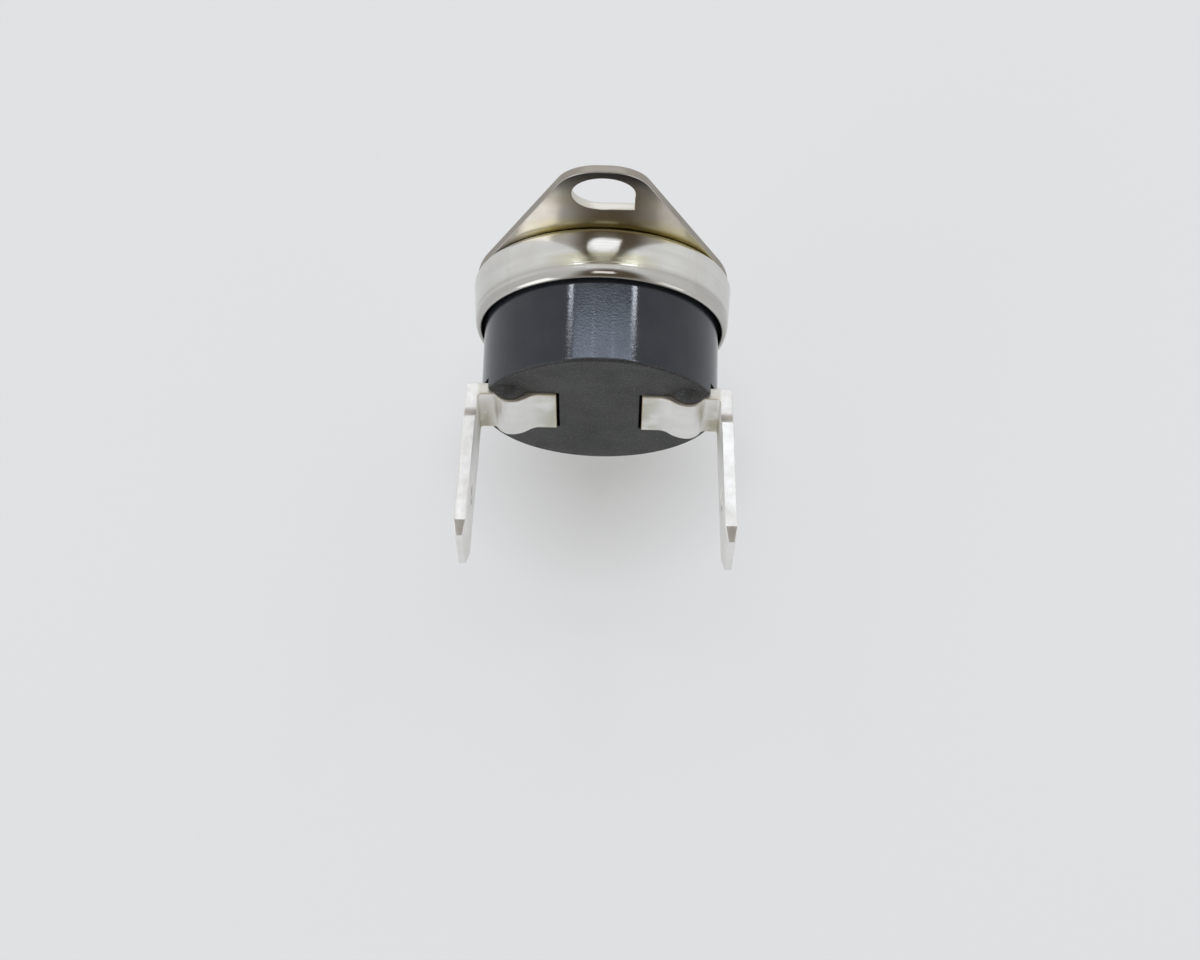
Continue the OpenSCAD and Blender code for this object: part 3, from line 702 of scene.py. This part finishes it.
def tin_terminal():
    """Tin-plated brass strip: pale and satin with cloudy crystal patches."""
    m, tree, shader, place = new_finish("tin_plate")
    height, patches = use_group(tree, GRAIN, {"Vector": place, "Grain per metre": 3600.0})
    smudge, scratches = use_group(tree, MARKS, {"Vector": place, "Size": 700.0})
    base = blend_colour(tree, patches, (0.94, 0.935, 0.92, 1), (0.985, 0.98, 0.965, 1))
    base = blend_colour(tree, maths(tree, "MULTIPLY", smudge, 0.35), base, (0.78, 0.77, 0.70, 1))
    split = tree.nodes.new("ShaderNodeSeparateXYZ")
    link(tree, place, split.inputs[0])
    across, along, width = (maths(tree, "ABSOLUTE", v) for v in split.outputs)
    facing = tree.nodes.new("ShaderNodeSeparateXYZ")
    link(tree, put(tree, "ShaderNodeTexCoord", out=1), facing.inputs[0])
    sheared = between(tree, maths(tree, "ABSOLUTE", facing.outputs[2]), 0.5, 0.85)
    marks = put(tree, "ShaderNodeTexNoise", {"Vector": place, "Scale": 1500.0, "Detail": 3.0})
    edge_tone = blend_colour(tree, between(tree, marks, 0.35, 0.65), (0.76, 0.74, 0.71, 1), (0.87, 0.855, 0.83, 1))
    base = blend_colour(tree, sheared, base, edge_tone)
    root = maths(tree, "MULTIPLY", sheared, between(tree, across, 0.0081, 0.0079))
    base = blend_colour(tree, maths(tree, "MULTIPLY", root, 0.75), base, (0.62, 0.585, 0.50, 1))
    # Olive cloudy patches near the bend, on the lower half of the strip.
    near_bend = maths(tree, "MULTIPLY", between(tree, across, 0.0067, 0.0075), between(tree, along, 0.0125, 0.0109))
    low_half = between(tree, split.outputs[2], 0.0024, -0.0012)
    cloudy = put(tree, "ShaderNodeTexNoise", {"Vector": place, "Scale": 480.0, "Detail": 4.0})
    olive_patches = maths(tree, "MULTIPLY", maths(tree, "MULTIPLY", near_bend, low_half), between(tree, cloudy, 0.3, 0.5))
    base = blend_colour(tree, maths(tree, "MULTIPLY", olive_patches, 0.8), base, (0.43, 0.39, 0.26, 1))
    inner = maths(tree, "MULTIPLY", between(tree, across, 0.0046, 0.0031), between(tree, cloudy, 0.34, 0.5))
    base = blend_colour(tree, maths(tree, "MULTIPLY", inner, 0.75), base, (0.58, 0.58, 0.46, 1))
    # Painted shade: the sheared edges where the strip widens into the tab, 11.1 to 12.05 mm out, are painted brownish
    # dark, for the black case mirrored in that hollow.
    painted_neck_shade = maths(tree, "MULTIPLY", between(tree, along, 0.0111, 0.0114), between(tree, along, 0.01205, 0.0119))
    base = blend_colour(tree, maths(tree, "MULTIPLY", maths(tree, "MULTIPLY", painted_neck_shade, sheared), 0.7), base,
                        (0.40, 0.34, 0.29, 1))
    on_base = between(tree, along, 0.0108, 0.0104)
    cut_edge = maths(tree, "MULTIPLY", between(tree, width, 0.00254, 0.00259), between(tree, width, 0.00264, 0.00261))
    cut_end = between(tree, across, (BASE_START + 0.08) * MM, (BASE_START + 0.04) * MM)
    bare = maths(tree, "MULTIPLY", maths(tree, "MAXIMUM", cut_edge, cut_end), on_base)
    base = blend_colour(tree, maths(tree, "MULTIPLY", bare, 0.6), base, (0.62, 0.44, 0.22, 1))
    link(tree, base, shader.inputs["Base Color"])
    shader.inputs["Metallic"].default_value = 1.0
    rough = maths(tree, "ADD", maths(tree, "MULTIPLY", patches, 0.12), 0.36)
    link(tree, maths(tree, "ADD", rough, maths(tree, "MULTIPLY", scratches, 0.08)), shader.inputs["Roughness"])
    raise_surface(tree, shader, height, 0.00001)
    return m


def plain_metal(name, dark, light, rough, grain):
    """A metal that is only met inside: two tones, rolling grain and smudges."""
    m, tree, shader, place = new_finish(name)
    height, patches = use_group(tree, GRAIN, {"Vector": place, "Grain per metre": grain})
    smudge, scratches = use_group(tree, MARKS, {"Vector": place, "Size": 600.0})
    link(tree, blend_colour(tree, patches, dark, light), shader.inputs["Base Color"])
    shader.inputs["Metallic"].default_value = 1.0
    link(tree, maths(tree, "ADD", maths(tree, "MULTIPLY", smudge, 0.12), rough), shader.inputs["Roughness"])
    raise_surface(tree, shader, height, 0.000006)
    return m


def plain_mould(name, dark, light, rough, grain):
    """A moulded or fired piece that is only met inside."""
    m, tree, shader, place = new_finish(name)
    height, patches = use_group(tree, GRAIN, {"Vector": place, "Grain per metre": grain})
    smudge, scratches = use_group(tree, MARKS, {"Vector": place, "Size": 500.0})
    link(tree, blend_colour(tree, patches, dark, light), shader.inputs["Base Color"])
    link(tree, maths(tree, "ADD", maths(tree, "MULTIPLY", smudge, 0.15), rough), shader.inputs["Roughness"])
    raise_surface(tree, shader, height, 0.00001)
    return m


def finish_with(piece, m):
    piece.data.materials.clear()
    piece.data.materials.append(m)


# The dressed part

phenolic, nickel, steel, tin = black_phenolic(), nickel_cap(), bright_plate(), tin_terminal()
brass = plain_metal("pressed_brass", (0.62, 0.47, 0.22, 1), (0.74, 0.60, 0.33, 1), 0.28, 5000.0)
bronze = plain_metal("spring_bronze", (0.55, 0.33, 0.19, 1), (0.68, 0.45, 0.28, 1), 0.25, 5000.0)
silver = plain_metal("contact_silver", (0.74, 0.73, 0.70, 1), (0.86, 0.85, 0.83, 1), 0.22, 6000.0)
bimetal = plain_metal("rolled_bimetal", (0.45, 0.42, 0.38, 1), (0.56, 0.53, 0.48, 1), 0.24, 5000.0)
brown = plain_mould("brown_phenolic", (0.09, 0.05, 0.03, 1), (0.14, 0.08, 0.05, 1), 0.4, 5000.0)
ceramic = plain_mould("fired_ceramic", (0.78, 0.74, 0.66, 1), (0.86, 0.83, 0.76, 1), 0.55, 5000.0)

for made, node, body, slot, surface in (
        (moulded_case(), "case", "housing", "phenolic", phenolic),
        (crimped_cap(), "cap", "housing", "nickel_plate", nickel),
        (mounting_plate(), "mounting_plate", "housing", "bright_steel", steel),
        (bent_terminal("bent_terminal_left", -1), "left_terminal", "housing", "tin_plate", tin),
        (bent_terminal("bent_terminal_right", 1), "right_terminal", "housing", "tin_plate", tin),
        (crowned_pin(), "push_pin", "pin", "ceramic", ceramic)):
    finish_with(made, surface)
    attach(made, body)
    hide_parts(node)

leaf = bending_leaf()
finish_with(leaf, bronze)
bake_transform(leaf)
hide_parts("leaf_spring")

for node, surface in (("bimetal_disc", bimetal), ("guide_plate", brown), ("leaf_stud", brass),
                      ("bracket_stud", brass), ("stud_washer", brass), ("moving_contact", silver),
                      ("contact_bracket", brass), ("fixed_contact", silver)):
    finish_with(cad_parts[node], surface)


# Table, light and camera

def table():
    """Pale table under the lower ear's tip, which the camera and mirrors see a little lighter in its shadows."""
    put_down()
    bpy.ops.mesh.primitive_plane_add(size=4, location=(0, 0, -EAR_END * MM))
    top = started("table")
    m, tree, shader, place = new_finish("pale_table")
    patches = use_group(tree, GRAIN, {"Vector": place, "Grain per metre": 40.0})[1]
    split = tree.nodes.new("ShaderNodeSeparateXYZ")
    link(tree, place, split.inputs[0])
    x, y = split.outputs[0], maths(tree, "ADD", split.outputs[1], 0.005)
    reach = maths(tree, "SQRT", maths(tree, "ADD", maths(tree, "MULTIPLY", x, x), maths(tree, "MULTIPLY", y, y)))
    # Painted light: away from the part the camera sees more glow and less lit colour, which pales the table's shadow
    # there; within 3 mm of a point 5 mm out from the seating face the shadow keeps near its full strength, fading to
    # the paled one at 12.5 mm.
    under = between(tree, reach, 0.0125, 0.003)
    base = blend_colour(tree, patches, (0.730, 0.737, 0.752, 1), (0.745, 0.752, 0.767, 1))
    glow = (0, 0, 0, 1)
    for ray, pale, shine in (
            (3, (0.50, 0.505, 0.515, 1), (0.318, 0.322, 0.327, 1)),
            (0, blend_colour(tree, under, (0.22, 0.222, 0.226, 1), (0.735, 0.736, 0.738, 1)),
             blend_colour(tree, under, (0.553, 0.559, 0.568, 1), (0.12, 0.12, 0.118, 1)))):
        seen = put(tree, "ShaderNodeLightPath", out=ray)
        base = blend_colour(tree, seen, base, pale)
        glow = blend_colour(tree, seen, glow, shine)
    link(tree, base, shader.inputs["Base Color"])
    link(tree, glow, shader.inputs["Emission Color"])
    shader.inputs["Emission Strength"].default_value = 1.0
    shader.inputs["Roughness"].default_value = 0.5
    finish_with(top, m)


def lamp(name, power, width, length, direction, distance, colour=(1, 1, 1)):
    """A soft lamp that looks at the part from a direction, its width across and its length along the part."""
    light = bpy.data.lights.new(name, "AREA")
    light.shape = "RECTANGLE"
    light.size, light.size_y = width, length
    light.energy = power
    light.color = colour
    o = bpy.data.objects.new(name, light)
    bpy.context.scene.collection.objects.link(o)
    away = Vector(direction).normalized()
    across = Vector((0, 1, 0)).cross(away).normalized()
    turn = Matrix((across, away.cross(across), away)).transposed().to_4x4()
    o.matrix_world = Matrix.Translation(away * distance) @ turn
    return o


def studio():
    """White tent, dim in front and over the camera, with a bar of soft lamps between two narrow ones above."""
    world = bpy.data.worlds.new("tent")
    bpy.context.scene.world = world
    world.use_nodes = True
    tree = world.node_tree
    tree.nodes.clear()
    out = tree.nodes.new("ShaderNodeOutputWorld")
    back = tree.nodes.new("ShaderNodeBackground")
    tree.links.new(back.outputs[0], out.inputs[0])
    look = put(tree, "ShaderNodeTexCoord", out=0)
    split = tree.nodes.new("ShaderNodeSeparateXYZ")
    link(tree, look, split.inputs[0])
    toward = put(tree, "ShaderNodeVectorMath", {0: look, 1: (0.12, -0.29, 0.95)}, out=1, operation="DOT_PRODUCT")
    dim = between(tree, toward, 0.81, 0.93)
    front = between(tree, split.outputs[1], -0.25, -0.65)
    left, right = between(tree, split.outputs[0], -0.6, -0.35), between(tree, split.outputs[0], 0.85, 0.65)
    front = maths(tree, "MULTIPLY", front, maths(tree, "MULTIPLY", left, right))
    tent = blend_colour(tree, front, (0.80, 0.81, 0.82, 1), (0.34, 0.32, 0.29, 1))
    tent = blend_colour(tree, dim, tent, (0.14, 0.11, 0.08, 1))
    tent = blend_colour(tree, put(tree, "ShaderNodeLightPath"), tent, (0.70, 0.71, 0.725, 1))
    link(tree, tent, back.inputs[0])
    back.inputs[1].default_value = 1.0
    for x, z in ((-0.26, 0.88), (0.03, 0.92), (0.32, 0.86)):
        lamp("bar", 0.09, 0.19, 0.028, (x, 0.402, z), 0.6, (0.8, 0.88, 1.0))
    lamp("strip_left", 0.07, 0.042, 0.035, (-0.445, 0.455, 0.77), 0.6)
    lamp("strip_right", 0.07, 0.038, 0.035, (0.475, 0.455, 0.765), 0.6)
    lamp("patch_above", 0.03, 0.3, 0.14, (0.0, 0.335, 0.942), 0.6)
    lamp("window_left", 0.40, 0.35, 0.35, (-0.78, -0.5, 0.38), 0.6)
    lamp("window_right", 0.14, 0.25, 0.35, (0.8, -0.5, 0.36), 0.6)
    lamp("overhead", 0.1, 0.22, 0.12, (0.02, -0.16, 0.98), 0.7)



def photograph_camera():
    """Camera fitted to the photograph's outlines."""
    pitch, yaw, roll = (math.radians(a) for a in (67.422, -0.994, 0.538))
    look = Vector((math.sin(yaw) * math.cos(pitch), math.cos(yaw) * math.cos(pitch), -math.sin(pitch)))
    level = Vector((math.cos(yaw), -math.sin(yaw), 0))
    above = level.cross(look)
    right = math.cos(roll) * level + math.sin(roll) * above
    up = -math.sin(roll) * level + math.cos(roll) * above
    data = bpy.data.cameras.new("photograph")
    data.sensor_width = 36
    data.lens = 2655 / 1200 * 36
    data.clip_start, data.clip_end = 0.01, 20
    camera = bpy.data.objects.new("photograph", data)
    bpy.context.scene.collection.objects.link(camera)
    turn = Matrix((right, up, -look)).transposed().to_4x4()
    camera.matrix_world = Matrix.Translation((0.00136, -0.082533, 0.162316)) @ turn
    bpy.context.scene.camera = camera


table()
studio()
photograph_camera()
bpy.context.scene.view_settings.view_transform = "Standard"
bpy.context.view_layer.update()
